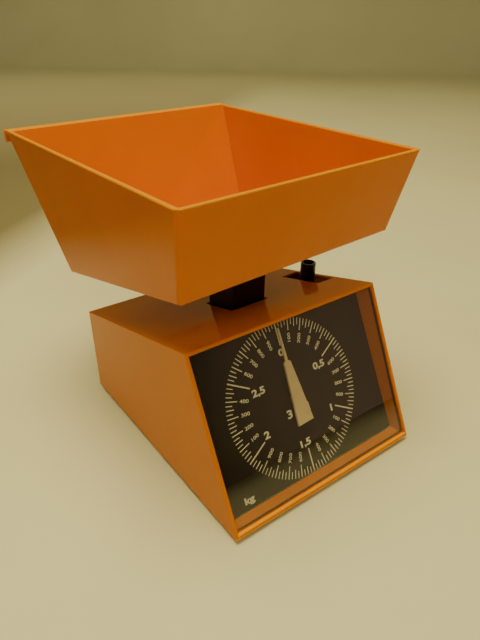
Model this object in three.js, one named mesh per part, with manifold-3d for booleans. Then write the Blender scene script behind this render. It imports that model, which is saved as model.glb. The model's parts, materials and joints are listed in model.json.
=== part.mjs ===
// Spring kitchen scale: a wedge-shaped plastic housing with a dial in its leaning face,
// a deep tray on a square post, and the weighing movement inside.
//
// Units are millimetres. While the parts are made, X is to the right as seen from the dial,
// Y runs to the rear from the ridge between the dial face and the top, and Z is up, from a level
// just above the table. The finished group is moved so that its origin is the middle of its
// footprint, on the table.

import * as THREE from 'three';
import { mergeVertices } from 'three/addons/utils/BufferGeometryUtils.js';
import Module from 'manifold-3d';

const wasm = await Module();
wasm.setup();

// ---------------------------------------------------------------- driving dimensions

const GAP = 0.3; // air between two pieces that touch in the real object
const OVER = 2; // how far a cutter runs past what it cuts

// Housing: side view is a four-sided wedge standing on low feet.
const HOUSING_WIDTH = 140;
const TABLE_Z = -1;
const HOUSING_LIFT = 1.5; // height of the underside
const RIDGE_HEIGHT = 94.4; // above the underside
const REAR_HEIGHT = 59.6;
const TOP_DEPTH = 127;
const REAR_FOOT = 124; // the rear wall leans out by the draft of its mould
const FRONT_FOOT = -47;
const WALL = 2;
const LIP_HEIGHT = 4.3;
const LIP_DEPTH = 2;
const LEDGE_HEIGHT = 0.9; // web behind the lip, ending in front of the dial plate
const LEDGE_END = -34.3;

const HALF_WIDTH = HOUSING_WIDTH / 2;
const INNER_HALF = HALF_WIDTH - WALL;
const RIDGE_Z = HOUSING_LIFT + RIDGE_HEIGHT;
const TOP_FALL = (RIDGE_HEIGHT - REAR_HEIGHT) / TOP_DEPTH; // drop per mm of depth
const INNER_RIDGE_Z = RIDGE_Z - WALL * Math.hypot(1, TOP_FALL);
const FACE_LENGTH = Math.hypot(RIDGE_HEIGHT, FRONT_FOOT);
const FACE_ANGLE = Math.atan2(RIDGE_HEIGHT, -FRONT_FOOT);

// The window and the dial plate, placed in the face's own frame: x across, y up the slope from
// the front edge of the underside, z out of the face.
const WINDOW_RECESS = 1.5;
const WINDOW_THICKNESS = 2;
const WINDOW_LOW = 4.8;
const WINDOW_HIGH = 103.1;
const WINDOW_CORNER = 2.5;
const DIAL_PLACE = 53.4; // middle of the dial plate, up the slope
const DIAL_RECESS = 13.4;
const DIAL_TILT = THREE.MathUtils.degToRad(2); // leans back further than the window

// The dial and the movement, in the dial's frame: z = 0 on the front of the dial plate.
const DIAL_THICKNESS = 1;
const DIAL_LOW = -46.7;
const DIAL_HIGH = 47;
const DIAL_X = -1.5;
const DIAL_Y = 0.7;
const POINTER_REST = THREE.MathUtils.degToRad(2.7); // stands this far before the vertical
const POINTER_FRONT = 4.3;
const POINTER_BODY_THICKNESS = 1.4;
const POINTER_TAIL = 15.7;
const POINTER_SHOULDER = 23.5;
const POINTER_TIP = 44.2;

// Post, platform travel and the lever that carries it.
const POST_Y = 50.5;
const POST_SIDE = 25;
const POST_WALL = 2.2;
const POST_BOTTOM = 20.5;
const HOLE_HALF_X = 14.2;
const HOLE_FRONT = 36.1;
const HOLE_REAR = 64.9;
const LINK_LENGTH = 45;
const LINK_PIVOT_Y = 104;
const UPPER_PIVOT_Z = 50;
const LOWER_PIVOT_Z = 19;
const LINK_THICKNESS = 2;
const LINK_HEIGHT = 7;
const LINK_INNER_X = 14;
const PIN_RADIUS = 2;

// Rack and pinion: one turn of the pointer is the full 3 kg.
const GEAR_MODULE = 0.5;
const PINION_TEETH = 10;
const PITCH_RADIUS = (GEAR_MODULE * PINION_TEETH) / 2;
const RACK_PITCH = Math.PI * GEAR_MODULE;
const RACK_TRAVEL = 2 * Math.PI * PITCH_RADIUS;
const PLATFORM_TRAVEL = RACK_TRAVEL * Math.sin(FACE_ANGLE - DIAL_TILT);
const LINK_TILT = Math.asin(PLATFORM_TRAVEL / 2 / LINK_LENGTH);
const PINION_DEPTH = 12.6;
const PINION_WIDTH = 4;
const RACK_THICKNESS = 3;

// Zero adjuster: a cup-topped knob on a screw that lifts the main spring.
const KNOB_X = 60;
const KNOB_Y = 49;
const KNOB_RADIUS = 5.2;
const KNOB_STAND = 11.5; // above the top of the housing
const SLOT_HALF_X = 7;
const SLOT_FRONT = 31.2;
const SLOT_REAR = 67.3;
const BRACKET_TOP = 71.5;
const SPRING_ARM_LENGTH = (LINK_PIVOT_Y - KNOB_Y) / Math.cos(LINK_TILT);
const SPRING_RADIUS = 4;
const SPRING_WIRE = 0.55;
const SPRING_TURNS = 11;
const SPRING_LOW = 36;
const SPRING_HIGH = 62;

// Tray: all depths are from the post's axis.
const TRAY_TURN = THREE.MathUtils.degToRad(3.65); // play of the loose tray on its seat
const TRAY_WALL = 2.2;
const TRAY_RIM_Z = 177.4;
const TRAY_RIM_FRONT = -61.3;
const TRAY_RIM_REAR = 119.3;
const TRAY_RIM_HALF = 84.5;
const TRAY_FLOOR_FRONT = -51.4;
const TRAY_FLOOR_REAR = 78.3;
const TRAY_FLOOR_FRONT_Z = 127.5;
const TRAY_FLOOR_REAR_Z = 94.8;
const TRAY_FLOOR_HALF = 78;
const FLANGE_REACH = 4;
const LIP_DROP = 7;
const SEAT_HALF = 25;
const SEAT_THICKNESS = 2.5;
const SOCKET_HALF = 27;
const SOCKET_WALL = 2;
const SOCKET_DEPTH = 4;

// Base plate, frames and small hardware.
const PLATE_THICKNESS = 1.5;
const BASE_FRONT = -30.7;
const BASE_LOW = HOUSING_LIFT + GAP;
const BASE_TOP = BASE_LOW + PLATE_THICKNESS;
const FLOOR_Z = BASE_TOP + GAP; // whatever stands on the base plate starts here
const FOOT_X = 50;
const FOOT_RADIUS = 6;
const SCREW_X = 62.5;
const SCREW_FRONT_Y = -17.5;
const SCREW_REAR_Y = 116;
const SCREW_SHANK = 1.4;
const SCREW_HEAD = 3;
const SCREW_HEAD_HEIGHT = 1.2;
const ROUND = 20; // sides of a small round piece

// ---------------------------------------------------------------- materials

const COLOURS = {
  orange: ['#e8780a', 0.18, 0],
  clear: ['#dfe6e6', 0.05, 0],
  dial: ['#241c14', 0.5, 0],
  cream: ['#d9c79a', 0.4, 0],
  black: ['#141414', 0.35, 0],
  steel: ['#9a9c9e', 0.35, 0.9],
  zinc: ['#b4b6b2', 0.4, 0.9],
  brass: ['#b5964e', 0.3, 0.9],
  rubber: ['#1c1c1c', 0.8, 0],
};

function material(name) {
  const [color, roughness, metalness] = COLOURS[name];
  return new THREE.MeshStandardMaterial({ color, roughness, metalness });
}

// ---------------------------------------------------------------- solids

function solid(geometry) {
  const bare = geometry.index ? geometry.clone() : geometry;
  bare.deleteAttribute('normal');
  bare.deleteAttribute('uv');
  const merged = mergeVertices(bare, 1e-4);
  const mesh = new wasm.Mesh({
    numProp: 3,
    vertProperties: new Float32Array(merged.attributes.position.array),
    triVerts: new Uint32Array(merged.index.array),
  });
  return new wasm.Manifold(mesh);
}

function geometryOf(manifold) {
  const mesh = manifold.getMesh();
  const geometry = new THREE.BufferGeometry();
  geometry.setAttribute('position', new THREE.BufferAttribute(mesh.vertProperties, 3));
  geometry.setIndex(new THREE.BufferAttribute(mesh.triVerts, 1));
  geometry.computeVertexNormals();
  return geometry;
}

// A block between two opposite corners.
function block([x0, y0, z0], [x1, y1, z1]) {
  const geometry = new THREE.BoxGeometry(x1 - x0, y1 - y0, z1 - z0);
  geometry.translate((x0 + x1) / 2, (y0 + y1) / 2, (z0 + z1) / 2);
  return solid(geometry);
}

function outline(points) {
  return new THREE.Shape(points.map(([x, y]) => new THREE.Vector2(x, y)));
}

// A side-view outline of [y, z] points, extruded across from x0 to x1.
function sideProfile(points, x0, x1) {
  const geometry = new THREE.ExtrudeGeometry(outline(points), { depth: x1 - x0, bevelEnabled: false });
  const turn = new THREE.Matrix4().makeBasis(
    new THREE.Vector3(0, 1, 0),
    new THREE.Vector3(0, 0, 1),
    new THREE.Vector3(1, 0, 0),
  );
  geometry.applyMatrix4(turn);
  geometry.translate(x0, 0, 0);
  return solid(geometry);
}

// A flat shape of [x, y] points or a Shape, extruded from z0 to z1.
function slab(shape, z0, z1, curveSegments = 6) {
  const flat = Array.isArray(shape) ? outline(shape) : shape;
  const geometry = new THREE.ExtrudeGeometry(flat, { depth: z1 - z0, bevelEnabled: false, curveSegments });
  geometry.translate(0, 0, z0);
  return solid(geometry);
}

function rodX([y, z], radius, x0, x1, sides = ROUND) {
  const geometry = new THREE.CylinderGeometry(radius, radius, x1 - x0, sides);
  geometry.rotateZ(Math.PI / 2);
  geometry.translate((x0 + x1) / 2, y, z);
  return solid(geometry);
}

function rodZ([x, y], radius, z0, z1, sides = ROUND) {
  const geometry = new THREE.CylinderGeometry(radius, radius, z1 - z0, sides);
  geometry.rotateX(Math.PI / 2);
  geometry.translate(x, y, (z0 + z1) / 2);
  return solid(geometry);
}

// A turned piece about Z from a profile of [radius, z] points, lowest first.
function turned(profile, sides = ROUND) {
  const points = profile.map(([r, z]) => new THREE.Vector2(r, z));
  const geometry = new THREE.LatheGeometry(points, sides);
  geometry.rotateX(Math.PI / 2);
  return solid(geometry);
}

function roundedRectangle(x0, y0, x1, y1, r) {
  const shape = new THREE.Shape();
  shape.moveTo(x0 + r, y0);
  shape.lineTo(x1 - r, y0);
  shape.absarc(x1 - r, y0 + r, r, -Math.PI / 2, 0);
  shape.lineTo(x1, y1 - r);
  shape.absarc(x1 - r, y1 - r, r, 0, Math.PI / 2);
  shape.lineTo(x0 + r, y1);
  shape.absarc(x0 + r, y1 - r, r, Math.PI / 2, Math.PI);
  shape.lineTo(x0, y0 + r);
  shape.absarc(x0 + r, y0 + r, r, Math.PI, Math.PI * 1.5);
  return shape;
}

// A six-faced hollowable form: four lower and four upper corners, each counter-clockwise.
function hopper(lower, upper) {
  const geometry = new THREE.BufferGeometry();
  geometry.setAttribute('position', new THREE.Float32BufferAttribute([...lower, ...upper].flat(), 3));
  const faces = [0, 2, 1, 0, 3, 2, 4, 5, 6, 4, 6, 7];
  for (let i = 0; i < 4; i += 1) {
    const next = (i + 1) % 4;
    faces.push(i, next, next + 4, i, next + 4, i + 4);
  }
  geometry.setIndex(faces);
  return solid(geometry);
}

// ---------------------------------------------------------------- frames

const scale = new THREE.Group();

// The dial face's frame, at the front edge of the underside.
const face = new THREE.Group();
face.position.set(0, FRONT_FOOT, HOUSING_LIFT);
face.rotation.x = FACE_ANGLE;
scale.add(face);

// The dial plate's frame, and the spindle's: z is the spindle's axis, pointing at the window.
const dialFrame = new THREE.Group();
dialFrame.position.set(0, DIAL_PLACE, -DIAL_RECESS);
dialFrame.rotation.x = -DIAL_TILT;
face.add(dialFrame);
const spindleFrame = new THREE.Group();
spindleFrame.position.set(DIAL_X, DIAL_Y, 0);
dialFrame.add(spindleFrame);
scale.updateMatrixWorld(true);

// Frames of the two links, at their pivots, tilted to their unloaded angle.
function linkFrame(z) {
  const group = new THREE.Group();
  group.position.set(0, LINK_PIVOT_Y, z);
  group.rotation.x = -LINK_TILT;
  scale.add(group);
  return group;
}
const upperFrame = linkFrame(UPPER_PIVOT_Z);
const lowerFrame = linkFrame(LOWER_PIVOT_Z);

const postFrame = new THREE.Group();
postFrame.position.set(0, POST_Y, 0);
scale.add(postFrame);

const trayFrame = new THREE.Group();
trayFrame.rotation.z = TRAY_TURN;
postFrame.add(trayFrame);

function add(parent, name, manifold, colour, place = [0, 0, 0]) {
  const mesh = new THREE.Mesh(geometryOf(manifold), material(colour));
  mesh.name = name;
  mesh.position.set(...place);
  parent.add(mesh);
}

// [y, z] of a point given up the slope and behind the face.
function facePoint(up, depth) {
  return [
    FRONT_FOOT + up * Math.cos(FACE_ANGLE) + depth * Math.sin(FACE_ANGLE),
    HOUSING_LIFT + up * Math.sin(FACE_ANGLE) - depth * Math.cos(FACE_ANGLE),
  ];
}

const innerTop = (y) => INNER_RIDGE_Z - TOP_FALL * y;

// ---------------------------------------------------------------- housing

function housingShell() {
  const BOSS_X = 57;
  const BOSS_HALF_Y = 4.5;
  const BOSS_TOP = 14;
  const PILOT_RADIUS = 1.7;
  const PILOT_TOP = 12.5;
  const LIP_FOOT = 1; // the lip's rear face leans this far
  const rearTop = TOP_DEPTH - WALL;
  const outer = sideProfile(
    [
      [FRONT_FOOT, HOUSING_LIFT],
      [REAR_FOOT, HOUSING_LIFT],
      [TOP_DEPTH, HOUSING_LIFT + REAR_HEIGHT],
      [0, RIDGE_Z],
    ],
    -HALF_WIDTH,
    HALF_WIDTH,
  );
  const lipBack = facePoint(LIP_HEIGHT, LIP_DEPTH);
  const cavity = sideProfile(
    [
      facePoint(LIP_HEIGHT, -OVER),
      lipBack,
      [lipBack[0] + LIP_FOOT, HOUSING_LIFT + LEDGE_HEIGHT],
      [LEDGE_END, HOUSING_LIFT + LEDGE_HEIGHT],
      [LEDGE_END, -OVER],
      [REAR_FOOT - WALL, -OVER],
      [rearTop, innerTop(rearTop)],
      [-OVER, innerTop(-OVER)],
    ],
    -INNER_HALF,
    INNER_HALF,
  );
  let shell = outer.subtract(cavity);
  for (const side of [-1, 1]) {
    for (const y of [SCREW_FRONT_Y, SCREW_REAR_Y]) {
      const x = [side * BOSS_X, side * (INNER_HALF + WALL / 2)].sort((a, b) => a - b);
      const boss = block([x[0], y - BOSS_HALF_Y, FLOOR_Z], [x[1], y + BOSS_HALF_Y, BOSS_TOP]);
      shell = shell.add(boss).subtract(rodZ([side * SCREW_X, y], PILOT_RADIUS, 0, PILOT_TOP));
    }
  }
  const postHole = block([-HOLE_HALF_X, HOLE_FRONT, REAR_HEIGHT], [HOLE_HALF_X, HOLE_REAR, RIDGE_Z]);
  const slot = block(
    [KNOB_X - SLOT_HALF_X, SLOT_FRONT, REAR_HEIGHT],
    [KNOB_X + SLOT_HALF_X, SLOT_REAR, RIDGE_Z],
  );
  return shell.subtract(postHole).subtract(slot);
}

function dialWindow() {
  const half = INNER_HALF - GAP;
  const shape = roundedRectangle(-half, WINDOW_LOW, half, WINDOW_HIGH, WINDOW_CORNER);
  return slab(shape, -WINDOW_RECESS - WINDOW_THICKNESS, -WINDOW_RECESS);
}

function basePlate() {
  const rear = REAR_FOOT - WALL - 2 * GAP;
  const half = INNER_HALF - GAP;
  let plate = block([-half, BASE_FRONT, BASE_LOW], [half, rear, BASE_TOP]);
  for (const place of [...baseScrews(), ...frameScrews()]) {
    plate = plate.subtract(rodZ(place, SCREW_SHANK + GAP, 0, FLOOR_Z));
  }
  return plate;
}

function baseScrews() {
  const places = [];
  for (const y of [SCREW_FRONT_Y, SCREW_REAR_Y]) {
    places.push([-SCREW_X, y], [SCREW_X, y]);
  }
  return places;
}

// Screws that hold the inner brackets down on the base plate, in the order of SCREWED.
const SCREWED = [
  'front_frame_left',
  'front_frame_right',
  'upright_left',
  'upright_right',
  'pivot_ear',
  'bracket',
];

function frameScrews() {
  const FRAME_X = 36;
  const FRAME_Y = -15;
  const UPRIGHT_X = 27;
  const EAR_X = 54;
  const BRACKET_SCREW_X = 56;
  return [
    [-FRAME_X, FRAME_Y],
    [FRAME_X, FRAME_Y],
    [-UPRIGHT_X, LINK_PIVOT_Y],
    [UPRIGHT_X, LINK_PIVOT_Y],
    [EAR_X, LINK_PIVOT_Y],
    [BRACKET_SCREW_X, KNOB_Y],
  ];
}

// A pan-head screw with its head at z = 0 and its shank along -Z.
function screw(length) {
  const profile = [
    [0, -length],
    [SCREW_SHANK, -length],
    [SCREW_SHANK, 0],
    [SCREW_HEAD, 0],
    [SCREW_HEAD, SCREW_HEAD_HEIGHT * 0.6],
    [SCREW_HEAD * 0.7, SCREW_HEAD_HEIGHT],
    [0, SCREW_HEAD_HEIGHT],
  ];
  const SLOT = 0.4;
  const body = turned(profile, 16);
  return body.subtract(block([-SCREW_HEAD, -SLOT, SCREW_HEAD_HEIGHT - SLOT], [SCREW_HEAD, SLOT, OVER]));
}

// ---------------------------------------------------------------- dial movement

function dialPlate() {
  const HOLE = 3.4;
  const half = INNER_HALF - GAP - 0.1;
  const plate = slab(
    [
      [-half, DIAL_LOW],
      [half, DIAL_LOW],
      [half, DIAL_HIGH],
      [-half, DIAL_HIGH],
    ],
    -DIAL_THICKNESS,
    0,
  );
  return plate.subtract(rodZ([DIAL_X, DIAL_Y], HOLE, -OVER, OVER));
}

const FRAME_FRONT = -(DIAL_THICKNESS + GAP);
const FRAME_BACK = FRAME_FRONT - PLATE_THICKNESS;
const BRIDGE_FRONT = -17.6;
const BRIDGE_BACK = BRIDGE_FRONT - PLATE_THICKNESS;
const BUSH_HOLE = 3.3;
const BUSH_RADIUS = 2.9;
const SPINDLE_RADIUS = 1;

// Moves a solid made in the dial's frame into the housing's.
function fromDial(manifold) {
  const geometry = geometryOf(manifold);
  geometry.applyMatrix4(dialFrame.matrixWorld);
  return solid(geometry);
}

// Built in the housing's frame: a plate behind the dial with a foot on the base plate.
function frontFrame() {
  const HALF = 45;
  const LOW = -43;
  const HIGH = 40;
  const FOOT_FRONT = -29.5;
  const FOOT_REAR = -9;
  const CUT = { inner: 22, outer: 39, low: -31, high: 30 }; // lightening holes beside the movement
  let plate = block([-HALF, LOW, FRAME_BACK], [HALF, HIGH, FRAME_FRONT]);
  plate = plate.subtract(rodZ([DIAL_X, DIAL_Y], BUSH_HOLE, FRAME_BACK - OVER, FRAME_FRONT + OVER));
  for (const side of [-1, 1]) {
    const x = [side * CUT.inner, side * CUT.outer].sort((a, b) => a - b);
    const hole = block([x[0], CUT.low, FRAME_BACK - OVER], [x[1], CUT.high, FRAME_FRONT + OVER]);
    plate = plate.subtract(hole);
  }
  let frame = fromDial(plate);
  frame = frame.add(block([-HALF, FOOT_FRONT, FLOOR_Z], [HALF, FOOT_REAR, FLOOR_Z + PLATE_THICKNESS]));
  for (const place of frameScrews().slice(0, 2)) {
    frame = frame.subtract(rodZ(place, SCREW_SHANK + GAP, 0, FLOOR_Z + 2 * PLATE_THICKNESS));
  }
  return frame;
}

const PILLAR_X = [-11.5, 12.5];
const PILLAR_Y = [-4.5, 11];
const PILLAR_RADIUS = 2.4;

function movementBridge() {
  const PLATE = { left: -16, low: -8, right: 17, high: 15, corner: 3 };
  const shape = roundedRectangle(PLATE.left, PLATE.low, PLATE.right, PLATE.high, PLATE.corner);
  const plate = slab(shape, BRIDGE_BACK, BRIDGE_FRONT, 3);
  return plate.subtract(rodZ([0, 0], BUSH_HOLE, BRIDGE_BACK - OVER, BRIDGE_FRONT + OVER));
}

function bush(front, back, flangeFront, flangeBack) {
  const FLANGE = 4.3;
  const BORE = SPINDLE_RADIUS + GAP;
  const body = rodZ([0, 0], BUSH_RADIUS, back, front);
  const flange = rodZ([0, 0], FLANGE, flangeBack, flangeFront);
  return body.add(flange).subtract(rodZ([0, 0], BORE, back - OVER, front + OVER));
}

function pinion() {
  const TIP_RADIUS = PITCH_RADIUS + GEAR_MODULE * 0.85;
  const ROOT_RADIUS = PITCH_RADIUS - GEAR_MODULE * 1.2;
  const ROOT_HALF = 0.2; // half tooth angles, as parts of the tooth pitch
  const TIP_HALF = 0.1;
  const BORE = SPINDLE_RADIUS + GAP;
  const step = (2 * Math.PI) / PINION_TEETH;
  const points = [];
  for (let i = 0; i < PINION_TEETH; i += 1) {
    const corners = [
      [ROOT_RADIUS, -ROOT_HALF],
      [TIP_RADIUS, -TIP_HALF],
      [TIP_RADIUS, TIP_HALF],
      [ROOT_RADIUS, ROOT_HALF],
    ];
    for (const [radius, part] of corners) {
      const angle = (i + part) * step;
      points.push([radius * Math.cos(angle), radius * Math.sin(angle)]);
    }
  }
  const gear = slab(points, -PINION_DEPTH - PINION_WIDTH / 2, -PINION_DEPTH + PINION_WIDTH / 2);
  return gear.subtract(rodZ([0, 0], BORE, -PINION_DEPTH - PINION_WIDTH, -PINION_DEPTH + PINION_WIDTH));
}

function hairspring() {
  const INNER = 1.35;
  const OUTER = 9.3;
  const TURNS = 3.56;
  const STRIP = 0.35;
  const STEPS = 70;
  const FRONT = -15.2;
  const HEIGHT = 0.9;
  const edge = (offset) => {
    const points = [];
    for (let i = 0; i <= STEPS; i += 1) {
      const t = i / STEPS;
      const radius = INNER + (OUTER - INNER) * t + offset;
      const angle = t * TURNS * 2 * Math.PI;
      points.push([radius * Math.cos(angle), radius * Math.sin(angle)]);
    }
    return points;
  };
  return slab([...edge(STRIP), ...edge(0).reverse()], FRONT - HEIGHT, FRONT);
}

// The pointer: a flat tapering body with a boss, and a needle that bends a little outwards.
function pointer() {
  const TAIL_HALF = 5.95;
  const SHOULDER_HALF = 2.4;
  const SHOULDER_BEVEL = 0.8;
  const NEEDLE_ROOT_HALF = 1;
  const NEEDLE_TIP_HALF = 0.45;
  const NEEDLE_THICKNESS = 0.8;
  const NEEDLE_RISE = 1.6;
  const BOSS_RADIUS = 4;
  const BOSS_RISE = 0.4;
  const HUB_RADIUS = 2.8;
  const HUB_BACK = 0.7;
  const TAB = { inner: 2.4, outer: 5.6, low: -10, high: -4.8 }; // small tab on the right edge
  const BEND = 0.2; // how far the needle stands proud of the body's back
  const back = POINTER_FRONT - POINTER_BODY_THICKNESS;
  let body = slab(
    [
      [-TAIL_HALF, -POINTER_TAIL],
      [TAIL_HALF, -POINTER_TAIL],
      [SHOULDER_HALF, POINTER_SHOULDER - SHOULDER_BEVEL],
      [SHOULDER_HALF - SHOULDER_BEVEL, POINTER_SHOULDER],
      [-SHOULDER_HALF + SHOULDER_BEVEL, POINTER_SHOULDER],
      [-SHOULDER_HALF, POINTER_SHOULDER - SHOULDER_BEVEL],
    ],
    back,
    POINTER_FRONT,
  );
  const root = POINTER_SHOULDER - 1;
  const low = back + BEND;
  const needle = hopper(
    [
      [-NEEDLE_ROOT_HALF, root, low],
      [NEEDLE_ROOT_HALF, root, low],
      [NEEDLE_TIP_HALF, POINTER_TIP, low + NEEDLE_RISE],
      [-NEEDLE_TIP_HALF, POINTER_TIP, low + NEEDLE_RISE],
    ],
    [
      [-NEEDLE_ROOT_HALF, root, low + NEEDLE_THICKNESS],
      [NEEDLE_ROOT_HALF, root, low + NEEDLE_THICKNESS],
      [NEEDLE_TIP_HALF, POINTER_TIP, low + NEEDLE_RISE + NEEDLE_THICKNESS],
      [-NEEDLE_TIP_HALF, POINTER_TIP, low + NEEDLE_RISE + NEEDLE_THICKNESS],
    ],
  );
  body = body.add(needle).add(rodZ([0, 0], BOSS_RADIUS, back, POINTER_FRONT + BOSS_RISE, 28));
  body = body.add(rodZ([0, 0], HUB_RADIUS, HUB_BACK, back + BEND));
  body = body.add(block([TAB.inner, TAB.low, back], [TAB.outer, TAB.high, POINTER_FRONT]));
  return body.subtract(rodZ([0, 0], SPINDLE_RADIUS + GAP, 0, POINTER_FRONT - BEND));
}

// ---------------------------------------------------------------- rack and its drive

const RACK_X = DIAL_X + PITCH_RADIUS; // the rack's pitch line
const RACK_BACK_X = RACK_X + RACK_THICKNESS;
const PIN_Z = 24;
const PIN_Y = 8;
const DRIVE_PIN_RADIUS = 1.3;

// Built in the housing's frame: toothed bar along the face, with a slotted foot.
function rack() {
  const TOOTH_HEIGHT = GEAR_MODULE * 0.85;
  const TOOTH_DEPTH = GEAR_MODULE * 1.15;
  const ROOT_HALF = 0.4;
  const TIP_HALF = 0.17;
  const FIRST = -3; // tooth spaces below and above the pinion's centre line
  const LAST = 13;
  const STEM_LOW = DIAL_Y - 19;
  const STEM_HIGH = DIAL_Y + 23;
  const rootX = RACK_X + TOOTH_DEPTH;
  const points = [[RACK_BACK_X, STEM_LOW], [RACK_BACK_X, STEM_HIGH], [rootX, STEM_HIGH]];
  for (let i = LAST; i >= FIRST; i -= 1) {
    const y = DIAL_Y + (i + 0.5) * RACK_PITCH;
    points.push([rootX, y + ROOT_HALF], [RACK_X - TOOTH_HEIGHT, y + TIP_HALF]);
    points.push([RACK_X - TOOTH_HEIGHT, y - TIP_HALF], [rootX, y - ROOT_HALF]);
  }
  points.push([rootX, STEM_LOW]);
  const bar = slab(points.reverse(), -PINION_DEPTH - RACK_THICKNESS / 2, -PINION_DEPTH + RACK_THICKNESS / 2);
  const FOOT = { x0: rootX, x1: RACK_BACK_X, y0: -10, y1: 18.9, z0: 20.5, z1: 27.5 };
  const SLOT = { y0: 6.2, y1: 17.3, half: 1.6 };
  const foot = block([FOOT.x0, FOOT.y0, FOOT.z0], [FOOT.x1, FOOT.y1, FOOT.z1]);
  const slot = block(
    [FOOT.x0 - OVER, SLOT.y0, PIN_Z - SLOT.half],
    [FOOT.x1 + OVER, SLOT.y1, PIN_Z + SLOT.half],
  );
  return fromDial(bar).add(foot).subtract(slot);
}

function rackArm() {
  const ARM = { x0: 5.4, x1: 7.9, y0: 4.5, z0: 20.8, z1: 27.2 };
  const PAD = { x0: -9, z1: 35 };
  const back = POST_Y - POST_SIDE / 2 - GAP;
  const arm = block([ARM.x0, ARM.y0, ARM.z0], [ARM.x1, back, ARM.z1]);
  const pad = block([PAD.x0, back - PLATE_THICKNESS, ARM.z0], [ARM.x1, back, PAD.z1]);
  const bore = rodX([PIN_Y, PIN_Z], DRIVE_PIN_RADIUS + GAP, ARM.x0 - OVER, ARM.x1 + OVER);
  let piece = arm.add(pad).subtract(bore);
  for (const [x, z] of ARM_SCREWS) {
    piece = piece.subtract(holeY([x, z], SCREW_SHANK + GAP, back - PLATE_THICKNESS - OVER, back + OVER));
  }
  return piece;
}
const ARM_SCREWS = [[-5, 31.5], [3, 31.5]];

function holeY([x, z], radius, y0, y1) {
  const geometry = new THREE.CylinderGeometry(radius, radius, y1 - y0, ROUND);
  geometry.translate(x, (y0 + y1) / 2, z);
  return solid(geometry);
}

// ---------------------------------------------------------------- platform

const trayFloorZ = (y) => {
  const fall = (TRAY_FLOOR_FRONT_Z - TRAY_FLOOR_REAR_Z) / (TRAY_FLOOR_REAR - TRAY_FLOOR_FRONT);
  return TRAY_FLOOR_FRONT_Z - fall * (y - TRAY_FLOOR_FRONT);
};
const SEAT_GAP = 0.6; // the turned tray's sloping floor needs a little more than GAP
const seatTop = (y) => trayFloorZ(y) - SEAT_GAP;
const postTop = (y) => seatTop(y) - SEAT_THICKNESS - GAP;

function platformPost() {
  const half = POST_SIDE / 2;
  const inner = half - POST_WALL;
  const CAP = 3;
  const PIN_CLEARANCE = 1;
  let post = sideProfile(
    [
      [-half, POST_BOTTOM],
      [half, POST_BOTTOM],
      [half, postTop(half)],
      [-half, postTop(-half)],
    ],
    -half,
    half,
  );
  const hollow = sideProfile(
    [
      [-inner, POST_BOTTOM - OVER],
      [inner, POST_BOTTOM - OVER],
      [inner, postTop(inner) - CAP],
      [-inner, postTop(-inner) - CAP],
    ],
    -inner,
    inner,
  );
  post = post.subtract(hollow);
  const pinY = LINK_PIVOT_Y - LINK_LENGTH * Math.cos(LINK_TILT) - POST_Y;
  for (const pivot of [UPPER_PIVOT_Z, LOWER_PIVOT_Z]) {
    const pinZ = pivot + LINK_LENGTH * Math.sin(LINK_TILT);
    post = post.subtract(rodX([pinY, pinZ], PIN_RADIUS + PIN_CLEARANCE, -half - OVER, half + OVER));
  }
  for (const place of ARM_SCREWS) {
    post = post.subtract(holeY(place, SCREW_SHANK + GAP, -half - OVER, -inner + OVER));
  }
  return post.subtract(rodZ([0, 0], SCREW_SHANK + GAP, postTop(0) - CAP - OVER, postTop(0) + OVER));
}

const SEAT_RECESS = 1.8;

function platformSeat() {
  const seat = sideProfile(
    [
      [-SEAT_HALF, seatTop(-SEAT_HALF) - SEAT_THICKNESS],
      [SEAT_HALF, seatTop(SEAT_HALF) - SEAT_THICKNESS],
      [SEAT_HALF, seatTop(SEAT_HALF)],
      [-SEAT_HALF, seatTop(-SEAT_HALF)],
    ],
    -SEAT_HALF,
    SEAT_HALF,
  );
  const bore = rodZ([0, 0], SCREW_SHANK + GAP, seatTop(0) - SEAT_THICKNESS - OVER, seatTop(0) + OVER);
  const recess = rodZ([0, 0], SCREW_HEAD + GAP, seatTop(0) - SEAT_RECESS, seatTop(0) + OVER);
  return seat.subtract(bore).subtract(recess);
}

// Corners of the tray's walls at a height, counter-clockwise from the front left.
function trayWalls(inset) {
  const sideLean = (TRAY_RIM_HALF - TRAY_FLOOR_HALF) / (TRAY_RIM_Z - TRAY_FLOOR_FRONT_Z);
  const frontLean = (TRAY_FLOOR_FRONT - TRAY_RIM_FRONT) / (TRAY_RIM_Z - TRAY_FLOOR_FRONT_Z);
  const rearLean = (TRAY_RIM_REAR - TRAY_FLOOR_REAR) / (TRAY_RIM_Z - TRAY_FLOOR_REAR_Z);
  const half = (z) => TRAY_RIM_HALF - sideLean * (TRAY_RIM_Z - z) - inset * Math.hypot(1, sideLean);
  const front = (z) => TRAY_RIM_FRONT + frontLean * (TRAY_RIM_Z - z) + inset * Math.hypot(1, frontLean);
  const rear = (z) => TRAY_RIM_REAR - rearLean * (TRAY_RIM_Z - z) - inset * Math.hypot(1, rearLean);
  // Height at which a wall meets the floor, by a few steps of substitution.
  const meet = (wall) => {
    let z = TRAY_FLOOR_FRONT_Z;
    for (let i = 0; i < 20; i += 1) z = trayFloorZ(wall(z)) + inset;
    return z;
  };
  const corners = (zFront, zRear) => [
    [-half(zFront), front(zFront), zFront],
    [half(zFront), front(zFront), zFront],
    [half(zRear), rear(zRear), zRear],
    [-half(zRear), rear(zRear), zRear],
  ];
  return { floor: corners(meet(front), meet(rear)), at: (z) => corners(z, z) };
}

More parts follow.
